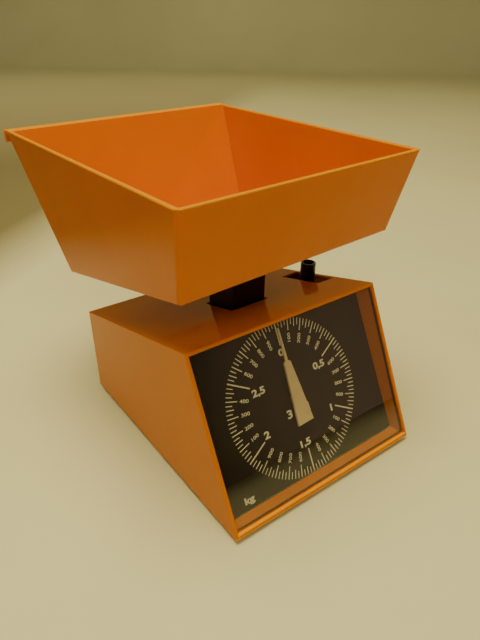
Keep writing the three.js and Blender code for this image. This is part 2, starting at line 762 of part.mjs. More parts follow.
function tray() {
  const outside = trayWalls(0);
  const inside = trayWalls(TRAY_WALL);
  const rimY = TRAY_RIM_REAR;
  const lipY = rimY + FLANGE_REACH;
  let body = hopper(outside.floor, outside.at(TRAY_RIM_Z));
  const flange = block(
    [-TRAY_RIM_HALF, rimY - TRAY_WALL, TRAY_RIM_Z - TRAY_WALL],
    [TRAY_RIM_HALF, lipY, TRAY_RIM_Z],
  );
  const lip = block(
    [-TRAY_RIM_HALF, lipY - TRAY_WALL, TRAY_RIM_Z - LIP_DROP],
    [TRAY_RIM_HALF, lipY, TRAY_RIM_Z],
  );
  body = body.add(flange).add(lip).subtract(hopper(inside.floor, inside.at(TRAY_RIM_Z + OVER)));
  const socket = (half, top) =>
    sideProfile(
      [
        [-half, trayFloorZ(-half) - SOCKET_DEPTH],
        [half, trayFloorZ(half) - SOCKET_DEPTH],
        [half, trayFloorZ(half) + top],
        [-half, trayFloorZ(-half) + top],
      ],
      -half,
      half,
    );
  const ring = socket(SOCKET_HALF + SOCKET_WALL, TRAY_WALL / 2).subtract(
    block([-SOCKET_HALF, -SOCKET_HALF, 0], [SOCKET_HALF, SOCKET_HALF, 2 * TRAY_RIM_Z]),
  );
  return body.add(ring);
}

// ---------------------------------------------------------------- links and pivots

function linkArm(x0, x1, reach) {
  const END = 4;
  return block([x0, -reach - END, -LINK_HEIGHT / 2], [x1, END, LINK_HEIGHT / 2]);
}

function link(outerArm) {
  const BAR = { y0: -20, y1: -15, half: 2.5 };
  const CLEAR = PIN_RADIUS + GAP;
  const innerEnd = LINK_INNER_X + LINK_THICKNESS;
  const barEnd = outerArm ? KNOB_X : innerEnd;
  let piece = block([-innerEnd, BAR.y0, -BAR.half], [barEnd, BAR.y1, BAR.half]);
  piece = piece.add(linkArm(-innerEnd, -LINK_INNER_X, LINK_LENGTH));
  piece = piece.add(linkArm(LINK_INNER_X, innerEnd, LINK_LENGTH));
  if (outerArm) {
    const half = LINK_THICKNESS / 2;
    piece = piece.add(linkArm(KNOB_X - half, KNOB_X + half, SPRING_ARM_LENGTH));
    piece = piece.subtract(rodX([-SPRING_ARM_LENGTH, 0], SPRING_PIN_RADIUS + GAP, 0, HALF_WIDTH));
  }
  piece = piece.subtract(rodX([0, 0], CLEAR, -HALF_WIDTH, HALF_WIDTH));
  return piece.subtract(rodX([-LINK_LENGTH, 0], CLEAR, -HALF_WIDTH, HALF_WIDTH / 2));
}
const SPRING_PIN_RADIUS = 1.2;

// An angle bracket: an upright plate between x0 and x1 with a foot reaching to footX.
function angleBracket([x0, x1], [y0, y1], top, footX, pivots, screwPlace) {
  const foot = [Math.min(x0, footX), Math.max(x1, footX)];
  let piece = block([x0, y0, FLOOR_Z], [x1, y1, top]);
  piece = piece.add(block([foot[0], y0, FLOOR_Z], [foot[1], y1, FLOOR_Z + PLATE_THICKNESS]));
  for (const z of pivots) {
    piece = piece.subtract(rodX([LINK_PIVOT_Y, z], PIN_RADIUS + GAP, x0 - OVER, x1 + OVER));
  }
  return piece.subtract(rodZ(screwPlace, SCREW_SHANK + GAP, 0, FLOOR_Z + 2 * PLATE_THICKNESS));
}

// ---------------------------------------------------------------- zero adjuster and spring

const knobTop = RIDGE_Z - TOP_FALL * KNOB_Y + KNOB_STAND;
const KNOB_LOW = BRACKET_TOP + GAP;
const BORE_DEPTH = 6;
const ADJUSTER_RADIUS = 1.9; // screw between knob and nut
const NUT_LOW = 53;
const PLUG_RADIUS = 3.1; // fits inside the spring's coils
const PLUG_COLLAR = 0.9; // a collar's face stands this far off the spring's end

function zeroKnob() {
  const CUP_RADIUS = 3.7;
  const CUP_DEPTH = 6;
  const ROUNDING = 0.4;
  const bore = ADJUSTER_RADIUS + GAP;
  return turned(
    [
      [0, KNOB_LOW + BORE_DEPTH],
      [bore, KNOB_LOW + BORE_DEPTH],
      [bore, KNOB_LOW],
      [KNOB_RADIUS, KNOB_LOW],
      [KNOB_RADIUS, knobTop - ROUNDING],
      [KNOB_RADIUS - ROUNDING, knobTop],
      [CUP_RADIUS, knobTop],
      [CUP_RADIUS - ROUNDING, knobTop - CUP_DEPTH],
      [0, knobTop - CUP_DEPTH],
    ],
    32,
  );
}

function zeroNut() {
  const FLANGE = 4.6;
  const FLANGE_HEIGHT = 2.1;
  const bore = ADJUSTER_RADIUS + GAP;
  const flangeLow = SPRING_HIGH + PLUG_COLLAR;
  return turned([
    [bore, NUT_LOW],
    [PLUG_RADIUS, NUT_LOW],
    [PLUG_RADIUS, flangeLow],
    [FLANGE, flangeLow],
    [FLANGE, flangeLow + FLANGE_HEIGHT],
    [bore, flangeLow + FLANGE_HEIGHT],
    [bore, NUT_LOW],
  ]);
}

function mainSpring() {
  const SIDES = 6;
  const STEPS_PER_TURN = 14;
  class Helix extends THREE.Curve {
    getPoint(t, target = new THREE.Vector3()) {
      const angle = t * SPRING_TURNS * 2 * Math.PI;
      const z = SPRING_LOW + t * (SPRING_HIGH - SPRING_LOW);
      return target.set(SPRING_RADIUS * Math.cos(angle), SPRING_RADIUS * Math.sin(angle), z);
    }
  }
  const section = new THREE.Shape();
  for (let i = 0; i < SIDES; i += 1) {
    const angle = (i * 2 * Math.PI) / SIDES;
    const point = [SPRING_WIRE * Math.cos(angle), SPRING_WIRE * Math.sin(angle)];
    if (i === 0) section.moveTo(...point);
    else section.lineTo(...point);
  }
  const steps = SPRING_TURNS * STEPS_PER_TURN;
  return solid(new THREE.ExtrudeGeometry(section, { steps, extrudePath: new Helix() }));
}

// Lower end of the spring: a plug inside the last coils, with a fork over the lever arm.
function springHook(armZ) {
  const COLLAR_RADIUS = 4.5;
  const COLLAR_HEIGHT = 1.5;
  const PLUG_HEIGHT = 7;
  const CHEEK = 1.2;
  const CHEEK_HALF = 2.6;
  const collarTop = SPRING_LOW - PLUG_COLLAR;
  const collarLow = collarTop - COLLAR_HEIGHT;
  const plugTop = SPRING_LOW + PLUG_HEIGHT;
  let hook = turned([
    [0, collarLow],
    [COLLAR_RADIUS, collarLow],
    [COLLAR_RADIUS, collarTop],
    [PLUG_RADIUS, collarTop],
    [PLUG_RADIUS, plugTop],
    [0, plugTop],
  ]);
  const inner = LINK_THICKNESS / 2 + GAP;
  for (const x of [-inner - CHEEK, inner]) {
    const cheek = block(
      [x, -CHEEK_HALF, armZ - CHEEK_HALF],
      [x + CHEEK, CHEEK_HALF, collarTop - COLLAR_HEIGHT / 2],
    );
    hook = hook.add(cheek);
  }
  return hook.subtract(rodX([0, armZ], SPRING_PIN_RADIUS + GAP, -COLLAR_RADIUS, COLLAR_RADIUS));
}

// ---------------------------------------------------------------- assembly

// A rod about its frame's own Z axis.
const axial = (radius, z0, z1) => rodZ([0, 0], radius, z0, z1);

// A frame inside another one, for a piece that stands some other way up.
function holder(parent, place, turnX) {
  const group = new THREE.Group();
  group.position.set(...place);
  group.rotation.x = turnX;
  parent.add(group);
  return group;
}

function assembleHousing() {
  const BASE_SCREW_LENGTH = 9;
  add(scale, 'housing_shell', housingShell(), 'orange');
  add(scale, 'base_plate', basePlate(), 'zinc');
  add(face, 'dial_window', dialWindow(), 'clear');
  for (const [end, y] of [['front', SCREW_FRONT_Y], ['rear', SCREW_REAR_Y - FOOT_RADIUS]]) {
    for (const [side, x] of [['left', -FOOT_X], ['right', FOOT_X]]) {
      add(scale, `foot_${end}_${side}`, rodZ([x, y], FOOT_RADIUS, TABLE_Z, HOUSING_LIFT, 28), 'rubber');
    }
  }
  baseScrews().forEach(([x, y], i) => {
    const under = holder(scale, [x, y, BASE_LOW - GAP / 2], Math.PI);
    add(under, `base_screw_${i + 1}`, screw(BASE_SCREW_LENGTH), 'steel');
  });
  const head = FLOOR_Z + PLATE_THICKNESS + GAP / 2;
  frameScrews().forEach(([x, y], i) => {
    add(scale, `${SCREWED[i]}_screw`, screw(head - BASE_LOW), 'steel', [x, y, head]);
  });
}

function assembleDial() {
  const FRONT_BUSH_END = -0.3;
  const REAR_BUSH_END = BRIDGE_FRONT + 0.4;
  const FLANGE = 0.9; // thickness of a bush's flange
  const SPINDLE_BACK = -21.1;
  const SPINDLE_SHORT = 0.6; // the spindle ends this far behind the pointer's face
  add(dialFrame, 'dial_plate', dialPlate(), 'dial');
  add(scale, 'front_frame', frontFrame(), 'zinc');
  add(spindleFrame, 'movement_bridge', movementBridge(), 'brass');
  PILLAR_X.forEach((x, i) => {
    PILLAR_Y.forEach((y, j) => {
      const pillar = axial(PILLAR_RADIUS, BRIDGE_FRONT + GAP, FRAME_BACK - GAP);
      add(spindleFrame, `bridge_pillar_${2 * i + j + 1}`, pillar, 'brass', [x, y, 0]);
    });
  });
  for (const [name, end, plateBack] of [
    ['front_bush', FRONT_BUSH_END, FRAME_BACK],
    ['rear_bush', REAR_BUSH_END, BRIDGE_BACK],
  ]) {
    const flangeFront = plateBack - GAP;
    const flangeBack = flangeFront - FLANGE;
    add(spindleFrame, name, bush(end, flangeBack, flangeFront, flangeBack), 'brass');
  }
  const spindle = axial(SPINDLE_RADIUS, SPINDLE_BACK, POINTER_FRONT - SPINDLE_SHORT);
  add(spindleFrame, 'spindle', spindle, 'steel');
  add(spindleFrame, 'pinion', pinion(), 'brass');
  add(spindleFrame, 'hairspring', hairspring(), 'steel');
  const pointerFrame = new THREE.Group();
  pointerFrame.rotation.z = POINTER_REST;
  spindleFrame.add(pointerFrame);
  add(pointerFrame, 'pointer', pointer(), 'cream');
}

function assembleRack() {
  const GUIDE = { thickness: 4, half: 4, back: -14.6 };
  const PIN_END_X = 9;
  const PIN_SHORT = 0.2;
  const ARM_SCREW_LENGTH = 5;
  const guideX = RACK_BACK_X + GAP - DIAL_X;
  const guide = block(
    [guideX, -GUIDE.half, GUIDE.back],
    [guideX + GUIDE.thickness, GUIDE.half, FRAME_BACK - GAP],
  );
  add(scale, 'rack', rack(), 'brass');
  add(spindleFrame, 'rack_guide', guide, 'black');
  add(scale, 'rack_arm', rackArm(), 'zinc');
  add(scale, 'rack_pin', rodX([PIN_Y, PIN_Z], DRIVE_PIN_RADIUS, RACK_X + PIN_SHORT, PIN_END_X), 'steel');
  const headY = POST_Y - POST_SIDE / 2 - GAP * 1.5 - PLATE_THICKNESS;
  ARM_SCREWS.forEach(([x, z], i) => {
    const ahead = holder(scale, [x, headY, z], Math.PI / 2);
    add(ahead, `arm_screw_${i + 1}`, screw(ARM_SCREW_LENGTH), 'steel');
  });
}

function assemblePlatform() {
  const SEAT_SCREW_LENGTH = 7;
  const seatScrewZ = seatTop(0) - SEAT_RECESS + GAP / 2;
  add(postFrame, 'platform_post', platformPost(), 'black');
  add(postFrame, 'platform_seat', platformSeat(), 'black');
  add(postFrame, 'seat_screw', screw(SEAT_SCREW_LENGTH), 'steel', [0, 0, seatScrewZ]);
  add(trayFrame, 'tray', tray(), 'orange');
}

function assembleLinks() {
  const PIN_STAND = 1.2; // how far a pin stands out of the links
  const SPRING_PIN_HALF = 4;
  const pinEnd = LINK_INNER_X + LINK_THICKNESS + PIN_STAND;
  add(upperFrame, 'upper_link', link(false), 'zinc');
  add(upperFrame, 'upper_post_pin', rodX([-LINK_LENGTH, 0], PIN_RADIUS, -pinEnd, pinEnd), 'steel');
  add(lowerFrame, 'lower_link', link(true), 'zinc');
  add(lowerFrame, 'lower_post_pin', rodX([-LINK_LENGTH, 0], PIN_RADIUS, -pinEnd, pinEnd), 'steel');
  const springPin = rodX(
    [-SPRING_ARM_LENGTH, 0],
    SPRING_PIN_RADIUS,
    KNOB_X - SPRING_PIN_HALF,
    KNOB_X + SPRING_PIN_HALF,
  );
  add(lowerFrame, 'spring_pin', springPin, 'steel');
}

function assemblePivots() {
  const UPRIGHT = [19, 20.5]; // inner and outer side of an upright
  const UPRIGHT_FOOT = 33;
  const UPRIGHT_TOP = 57;
  const UPRIGHT_Y = [97, 111];
  const EAR = [62.3, 63.8];
  const EAR_FOOT = 48;
  const EAR_TOP = 25;
  const EAR_Y = [98, 110];
  const PIN_HALF = 22;
  const LOWER_PIN_END = 65; // reaches the ear beside the spring arm
  const pivots = [UPPER_PIVOT_Z, LOWER_PIVOT_Z];
  const screws = frameScrews();
  const mirrored = [-UPRIGHT[1], -UPRIGHT[0]];
  const left = angleBracket(mirrored, UPRIGHT_Y, UPRIGHT_TOP, -UPRIGHT_FOOT, pivots, screws[2]);
  const right = angleBracket(UPRIGHT, UPRIGHT_Y, UPRIGHT_TOP, UPRIGHT_FOOT, pivots, screws[3]);
  const ear = angleBracket(EAR, EAR_Y, EAR_TOP, EAR_FOOT, [LOWER_PIVOT_Z], screws[4]);
  const upperPin = rodX([LINK_PIVOT_Y, UPPER_PIVOT_Z], PIN_RADIUS, -PIN_HALF, PIN_HALF);
  const lowerPin = rodX([LINK_PIVOT_Y, LOWER_PIVOT_Z], PIN_RADIUS, -PIN_HALF, LOWER_PIN_END);
  add(scale, 'upright_left', left, 'zinc');
  add(scale, 'upright_right', right, 'zinc');
  add(scale, 'pivot_ear', ear, 'zinc');
  add(scale, 'upper_frame_pin', upperPin, 'steel');
  add(scale, 'lower_frame_pin', lowerPin, 'steel');
}

// The bracket that carries the zero adjuster: an upright with a foot and a shelf over the spring.
function adjusterBracket() {
  const PLATE = [65.3, 66.8];
  const FOOT_END = 51;
  const SHELF_END = 53.5;
  const HALF_DEPTH = 7;
  const y = [KNOB_Y - HALF_DEPTH, KNOB_Y + HALF_DEPTH];
  const upright = angleBracket(PLATE, y, BRACKET_TOP, FOOT_END, [], frameScrews()[5]);
  const shelf = block([SHELF_END, y[0], BRACKET_TOP - PLATE_THICKNESS], [PLATE[1], y[1], BRACKET_TOP]);
  const bore = rodZ(
    [KNOB_X, KNOB_Y],
    ADJUSTER_RADIUS + GAP,
    BRACKET_TOP - PLATE_THICKNESS - OVER,
    BRACKET_TOP + OVER,
  );
  return upright.add(shelf).subtract(bore);
}

function assembleAdjuster() {
  const SCREW_LOW = NUT_LOW + 1;
  const place = [KNOB_X, KNOB_Y, 0];
  const springArmZ = LOWER_PIVOT_Z + SPRING_ARM_LENGTH * Math.sin(LINK_TILT);
  add(scale, 'adjuster_bracket', adjusterBracket(), 'zinc');
  add(scale, 'zero_knob', zeroKnob(), 'black', place);
  add(scale, 'zero_screw', axial(ADJUSTER_RADIUS, SCREW_LOW, KNOB_LOW + BORE_DEPTH - GAP), 'steel', place);
  add(scale, 'zero_nut', zeroNut(), 'brass', place);
  add(scale, 'main_spring', mainSpring(), 'steel', place);
  add(scale, 'spring_hook', springHook(springArmZ), 'brass', place);
}

// Rubber pad under the post, which ends the platform's travel.
function assembleStop() {
  const STOP = { half: 12, front: 37, rear: 42, height: 2.4 };
  const pad = block([-STOP.half, STOP.front, FLOOR_Z], [STOP.half, STOP.rear, FLOOR_Z + STOP.height]);
  add(scale, 'down_stop', pad, 'rubber');
}

assembleHousing();
assembleDial();
assembleRack();
assemblePlatform();
assembleLinks();
assemblePivots();
assembleAdjuster();
assembleStop();

// Origin at the middle of the footprint, on the table.
const bounds = new THREE.Box3().setFromObject(scale);
scale.position.set(-(bounds.min.x + bounds.max.x) / 2, -(bounds.min.y + bounds.max.y) / 2, -bounds.min.z);

const kitchenScale = new THREE.Group();
kitchenScale.add(scale);

export default kitchenScale;
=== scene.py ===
"""Looks of the spring kitchen scale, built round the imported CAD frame. Metres, +Z up."""

import json
import math

import bmesh
import bpy
from mathutils import Matrix, Vector


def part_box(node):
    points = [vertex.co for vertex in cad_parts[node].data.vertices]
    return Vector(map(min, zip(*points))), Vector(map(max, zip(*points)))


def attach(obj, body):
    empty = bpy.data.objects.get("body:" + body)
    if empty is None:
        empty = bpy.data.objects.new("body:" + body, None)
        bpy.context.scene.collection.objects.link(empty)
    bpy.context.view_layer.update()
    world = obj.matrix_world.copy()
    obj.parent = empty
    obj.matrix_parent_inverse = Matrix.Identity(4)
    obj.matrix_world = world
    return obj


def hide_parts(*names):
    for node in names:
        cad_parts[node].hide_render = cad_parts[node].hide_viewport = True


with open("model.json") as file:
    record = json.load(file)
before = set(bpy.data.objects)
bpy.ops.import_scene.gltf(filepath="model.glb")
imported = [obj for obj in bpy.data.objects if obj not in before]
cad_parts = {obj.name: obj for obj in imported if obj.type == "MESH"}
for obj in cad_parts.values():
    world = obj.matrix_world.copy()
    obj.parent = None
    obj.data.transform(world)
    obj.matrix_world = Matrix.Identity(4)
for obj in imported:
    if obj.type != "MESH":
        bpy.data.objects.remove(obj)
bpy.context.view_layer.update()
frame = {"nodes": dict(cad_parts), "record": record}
MM = 0.001

# ---------------------------------------------------------------- where things are

shell_low, shell_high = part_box("housing_shell")
tray_low, tray_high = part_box("tray")
MIDDLE_X = (shell_low.x + shell_high.x) / 2
FACE_ANGLE = math.atan2(94.4, 47)  # the housing's front, from its rise and its depth
DIAL_LEAN = math.radians(-2)  # the dial plate leans back a little more than the front
DIAL_UP = 53.4 * MM  # the plate's middle: up the front from its lower edge
DIAL_IN = 13.4 * MM  # and behind it
RING_RADIUS = 48.2 * MM
RING_X = -1.5 * MM
RING_Y = 0.7 * MM
TABLE_TURN = math.radians(-37)


def face_matrix():
    """Frame of the housing's front: x across, y up the slope, z out, at its lower edge."""
    place = Matrix.Translation((MIDDLE_X, shell_low.y, shell_low.z))
    return place @ Matrix.Rotation(FACE_ANGLE, 4, "X")


def dial_matrix():
    """Frame of the dial plate's front, at the middle of the plate."""
    step = Matrix.Translation((0, DIAL_UP, -DIAL_IN))
    return face_matrix() @ step @ Matrix.Rotation(DIAL_LEAN, 4, "X")


# ---------------------------------------------------------------- materials


class Nodes:
    """A material's node tree with short calls to add and join nodes."""

    def __init__(self, name):
        self.material = bpy.data.materials.new(name)
        self.material.use_nodes = True
        self.tree = self.material.node_tree
        self.tree.nodes.clear()
        self.output = self.tree.nodes.new("ShaderNodeOutputMaterial")
        self.coords = self.tree.nodes.new("ShaderNodeTexCoord")

    def add(self, kind, inputs=None, **settings):
        node = self.tree.nodes.new(kind)
        for key, value in settings.items():
            setattr(node, key, value)
        for key, value in (inputs or {}).items():
            self.put(node, key, value)
        return node

    def put(self, node, key, value):
        """Joins value to an input if it is a socket, and sets the input to it if not."""
        if isinstance(value, bpy.types.NodeSocket):
            self.tree.links.new(value, node.inputs[key])
        else:
            node.inputs[key].default_value = value

    def noise(self, scale, detail=3.0, rough=0.5, stretch=(1, 1, 1)):
        mapping = self.add("ShaderNodeMapping", {"Vector": self.coords.outputs["Object"]})
        mapping.inputs["Scale"].default_value = stretch
        inputs = {"Vector": mapping.outputs["Vector"], "Scale": scale, "Detail": detail, "Roughness": rough}
        return self.add("ShaderNodeTexNoise", inputs).outputs["Fac"]

    def span(self, value, low, high, start=0.0, end=1.0):
        """Maps value from start..end to low..high."""
        inputs = {"Value": value, "From Min": start, "From Max": end, "To Min": low, "To Max": high}
        return self.add("ShaderNodeMapRange", inputs).outputs["Result"]

    def blotches(self, scale, detail, rough, start, end):
        """Noise as a mask: none where it is below start, and full where it is above end."""
        return self.span(self.noise(scale, detail, rough), 0, 1, start, end)

    def mix(self, factor, first, second):
        node = self.add("ShaderNodeMix", data_type="RGBA")
        self.put(node, 0, factor)
        self.put(node, 6, first)
        self.put(node, 7, second)
        return node.outputs[2]

    def calculate(self, operation, first, second, clamp=False):
        inputs = {0: first, 1: second}
        return self.add("ShaderNodeMath", inputs, operation=operation, use_clamp=clamp).outputs[0]

    def bump(self, height, strength, distance, normal=None):
        inputs = {"Height": height, "Strength": strength, "Distance": distance}
        if normal is not None:
            inputs["Normal"] = normal
        return self.add("ShaderNodeBump", inputs).outputs["Normal"]

    def principled(self, inputs):
        """The finished material, with these inputs."""
        node = self.add("ShaderNodeBsdfPrincipled", inputs)
        self.tree.links.new(node.outputs["BSDF"], self.output.inputs["Surface"])
        return self.material


def rgb(red, green, blue):
    """An sRGB colour of 0 to 255 as the linear one that nodes take."""

    def linear(value):
        value /= 255
        return value / 12.92 if value <= 0.04045 else ((value + 0.055) / 1.055) ** 2.4

    return (linear(red), linear(green), linear(blue), 1.0)


def orange_plastic(name, darker, lighter, shine):
    """Glossy ABS: faint flow marks in the colour, hairline scratches and a trace of dust.

    shine is the shader's specular level, which is 0.5 for plain plastic.
    """
    DUST = rgb(206, 140, 60)
    DUST_SHARE = 0.06
    nodes = Nodes(name)
    flow = nodes.noise(14, detail=4, rough=0.55, stretch=(1, 1, 0.4))
    colour = nodes.mix(nodes.span(flow, 0, 1, start=0.3, end=0.7), darker, lighter)
    specks = nodes.blotches(2600, detail=2, rough=0.6, start=0.68, end=0.8)
    colour = nodes.mix(nodes.span(specks, 0, DUST_SHARE), colour, DUST)
    smears = nodes.span(nodes.noise(45, detail=5, rough=0.6), 0.04, 0.1, start=0.3, end=0.75)
    hairlines = nodes.noise(420, detail=2, stretch=(1, 0.04, 1))
    scratches = nodes.span(hairlines, 0, 0.05, start=0.6, end=0.75)
    wave = nodes.bump(nodes.noise(22, detail=2, rough=0.4), strength=0.12, distance=0.0012)
    grain = nodes.noise(1500, detail=2)
    return nodes.principled(
        {
            "Base Color": colour,
            "Roughness": nodes.calculate("ADD", smears, scratches),
            "IOR": 1.5,
            "Specular IOR Level": shine,
            "Specular Tint": (1.0, 0.62, 0.2, 1.0),
            "Normal": nodes.bump(grain, strength=0.05, distance=0.00003, normal=wave),
            "Subsurface Weight": 0.3,
            "Subsurface Radius": (1.0, 0.25, 0.04),
            "Subsurface Scale": 0.003,
        }
    )


def black_plastic(name, rough, grain):
    """Black plastic with a light dusting: its roughness and how fine its grain is."""
    nodes = Nodes(name)
    dust = nodes.blotches(2200, detail=3, rough=0.6, start=0.66, end=0.8)
    colour = nodes.mix(nodes.span(dust, 0, 0.2), rgb(20, 18, 17), rgb(92, 86, 78))
    smears = nodes.noise(60, detail=4, rough=0.6)
    texture = nodes.noise(grain, rough=0.6)
    return nodes.principled(
        {
            "Base Color": colour,
            "Roughness": nodes.span(smears, rough - 0.06, rough + 0.1, start=0.3, end=0.7),
            "Normal": nodes.bump(texture, strength=0.25, distance=0.00006),
            "IOR": 1.5,
        }
    )


def dial_paint():
    """Satin dark brown plate with a soft mottle and a light dusting."""
    nodes = Nodes("dial_paint_brown")
    cloud = nodes.blotches(30, detail=4, rough=0.6, start=0.3, end=0.7)
    colour = nodes.mix(cloud, rgb(30, 23, 17), rgb(40, 31, 23))
    dust = nodes.blotches(1500, detail=2, rough=0.6, start=0.74, end=0.85)
    colour = nodes.mix(nodes.span(dust, 0, 0.06), colour, rgb(110, 96, 78))
    texture = nodes.noise(300, rough=0.6)
    return nodes.principled(
        {
            "Base Color": colour,
            "Roughness": nodes.span(cloud, 0.5, 0.6),
            "Specular IOR Level": 0.3,
            "Normal": nodes.bump(texture, strength=0.05, distance=0.00002),
        }
    )


def cream_print():
    """Cream ink, a little worn."""
    nodes = Nodes("print_cream")
    wear = nodes.blotches(900, detail=3, rough=0.6, start=0.35, end=0.65)
    colour = nodes.mix(wear, rgb(244, 238, 220), rgb(228, 220, 200))
    return nodes.principled({"Base Color": colour, "Roughness": 0.55})


def pointer_paint():
    """Cream paint with a fine grain, as on a moulded pointer."""
    nodes = Nodes("pointer_cream")
    cloud = nodes.blotches(80, detail=4, rough=0.6, start=0.3, end=0.7)
    grain = nodes.noise(1200, rough=0.6)
    return nodes.principled(
        {
            "Base Color": nodes.mix(cloud, rgb(224, 200, 164), rgb(214, 188, 150)),
            "Roughness": nodes.span(nodes.noise(200, rough=0.6), 0.38, 0.5),
            "Normal": nodes.bump(grain, strength=0.2, distance=0.00003),
            "Subsurface Weight": 0.1,
            "Subsurface Radius": (1.0, 0.6, 0.3),
            "Subsurface Scale": 0.001,
        }
    )


def clear_window():
    """Thin clear sheet: mirror-like by Fresnel, clear between, with a few hairlines."""
    BOTH_SURFACES = 1.9  # the sheet's rear surface reflects nearly as much as its front
    nodes = Nodes("window_clear")
    hairlines = nodes.noise(700, detail=2, stretch=(1, 0.05, 0.05))
    scratches = nodes.span(hairlines, 0, 0.03, start=0.7, end=0.85)
    haze = nodes.span(nodes.noise(50, detail=4, rough=0.6), 0.0, 0.012, start=0.3, end=0.7)
    rough = nodes.calculate("ADD", scratches, haze)
    gloss = nodes.add("ShaderNodeBsdfGlossy", {"Roughness": rough, "Color": (1, 1, 1, 1)})
    clear = nodes.add("ShaderNodeBsdfTransparent", {"Color": rgb(250, 250, 246)})
    fresnel = nodes.add("ShaderNodeFresnel", {"IOR": 1.49}).outputs[0]
    inside = nodes.add("ShaderNodeNewGeometry").outputs["Backfacing"]
    outside = nodes.calculate("SUBTRACT", 1.0, inside)
    both = nodes.calculate("MULTIPLY", fresnel, BOTH_SURFACES, clamp=True)
    mirror = nodes.calculate("MULTIPLY", both, outside)
    shaders = {0: mirror, 1: clear.outputs[0], 2: gloss.outputs[0]}
    mixed = nodes.add("ShaderNodeMixShader", shaders)
    nodes.tree.links.new(mixed.outputs[0], nodes.output.inputs["Surface"])
    return nodes.material


def window_edge_painted_shade():
    """Painted shade for the clear sheet's sawn edges, which look dark: an opaque dark brown, a little
    cloudy.
    """
    nodes = Nodes("window_edge_painted_shade")
    cloud = nodes.blotches(400, detail=3, rough=0.6, start=0.3, end=0.7)
    colour = nodes.mix(cloud, rgb(46, 24, 10), rgb(74, 40, 16))
    return nodes.principled({"Base Color": colour, "Roughness": 0.35, "IOR": 1.49})


def metal(name, light, dark, rough, stretch):
    """Metal with a drawn grain and cloudy tarnish."""
    nodes = Nodes(name)
    cloud = nodes.blotches(70, detail=4, rough=0.65, start=0.35, end=0.65)
    grain = nodes.noise(1500, rough=0.6, stretch=stretch)
    return nodes.principled(
        {
            "Base Color": nodes.mix(cloud, light, dark),
            "Metallic": 1.0,
            "Roughness": nodes.span(grain, rough - 0.08, rough + 0.12, start=0.3, end=0.7),
            "Normal": nodes.bump(grain, strength=0.2, distance=0.00004),
        }
    )


def rubber():
    """Black rubber, dull and coarse."""
    nodes = Nodes("rubber_black")
    cloud = nodes.blotches(120, detail=4, rough=0.65, start=0.35, end=0.65)
    grain = nodes.noise(900, rough=0.6)
    return nodes.principled(
        {
            "Base Color": nodes.mix(cloud, rgb(24, 24, 24), rgb(44, 42, 40)),
            "Roughness": 0.85,
            "Normal": nodes.bump(grain, strength=0.5, distance=0.0001),
        }
    )


def table_top():
    """Pale table with a soft painted shade lying towards the rear left."""
    TOWARDS_SHADE = Matrix.Rotation(-TABLE_TURN, 3, "Z") @ Vector((-0.64, 0.77, 0))
    SHADE_START = (0.24, 0.34)  # distance towards the shade at which it begins and is full
    SHADE_END = (0.7, 1.7)  # distance in any direction at which it fades and is gone
    # Painted shade: a darker colour mixed into the floor towards the rear left, in place of shade.
    PAINTED_SHADE = rgb(120, 108, 78)
    nodes = Nodes("table_pale_painted_shade")
    cloud = nodes.blotches(2.2, detail=5, rough=0.6, start=0.3, end=0.7)
    pale = nodes.mix(cloud, rgb(202, 196, 162), rgb(212, 206, 173))
    place = nodes.coords.outputs["Object"]
    inputs = {0: place, 1: TOWARDS_SHADE}
    reach = nodes.add("ShaderNodeVectorMath", inputs, operation="DOT_PRODUCT").outputs["Value"]
    begun = nodes.span(reach, 0, 1, *SHADE_START)
    away = nodes.add("ShaderNodeVectorMath", {0: place}, operation="LENGTH").outputs["Value"]
    left = nodes.span(away, 1, 0, *SHADE_END)
    grain = nodes.noise(900, rough=0.6)
    return nodes.principled(
        {
            "Base Color": nodes.mix(nodes.calculate("MULTIPLY", begun, left), pale, PAINTED_SHADE),
            "Roughness": 0.6,
            "Normal": nodes.bump(grain, strength=0.08, distance=0.0001),
        }
    )


# The housing and the tray are one plastic. The housing's copy is painted yellower, as painted light for the
# direct light on it. The tray's copy is painted redder, as painted shade for the shade and orange bounce
# light it sits in.
ORANGE = orange_plastic("orange_plastic_housing_painted_light", rgb(203, 112, 0), rgb(211, 118, 0), 0.28)
# A paler, less glossy copy for the front lip: a painted highlight for the light it catches.
ORANGE_LIP_HIGHLIGHT = orange_plastic("orange_plastic_lip_painted_highlight", rgb(240, 156, 0), rgb(246, 164, 0), 0.1)
ORANGE_TRAY_SHADED = orange_plastic("orange_plastic_tray_painted_shade", rgb(203, 102, 0), rgb(211, 108, 0), 0.45)
# A yellower copy with no gloss for the tray's rim: a painted highlight for the light on its thin rounded
# edge.
ORANGE_RIM_HIGHLIGHT = orange_plastic("orange_plastic_rim_painted_highlight", rgb(190, 120, 0), rgb(198, 127, 0), 0.0)
BLACK = black_plastic("black_plastic_satin", 0.32, 900)
KNOB_BLACK = black_plastic("black_plastic_knob", 0.25, 500)
DIAL = dial_paint()
PRINT = cream_print()
POINTER = pointer_paint()
WINDOW = clear_window()
WINDOW_EDGE_SHADE = window_edge_painted_shade()
ZINC = metal("zinc_plate", rgb(188, 190, 188), rgb(160, 162, 158), 0.36, (1, 0.06, 0.06))
BRASS = metal("brass_machined", rgb(196, 164, 96), rgb(172, 140, 78), 0.3, (1, 1, 0.1))
STEEL = metal("steel_drawn", rgb(176, 176, 176), rgb(150, 150, 150), 0.28, (0.1, 1, 1))
RUBBER = rubber()

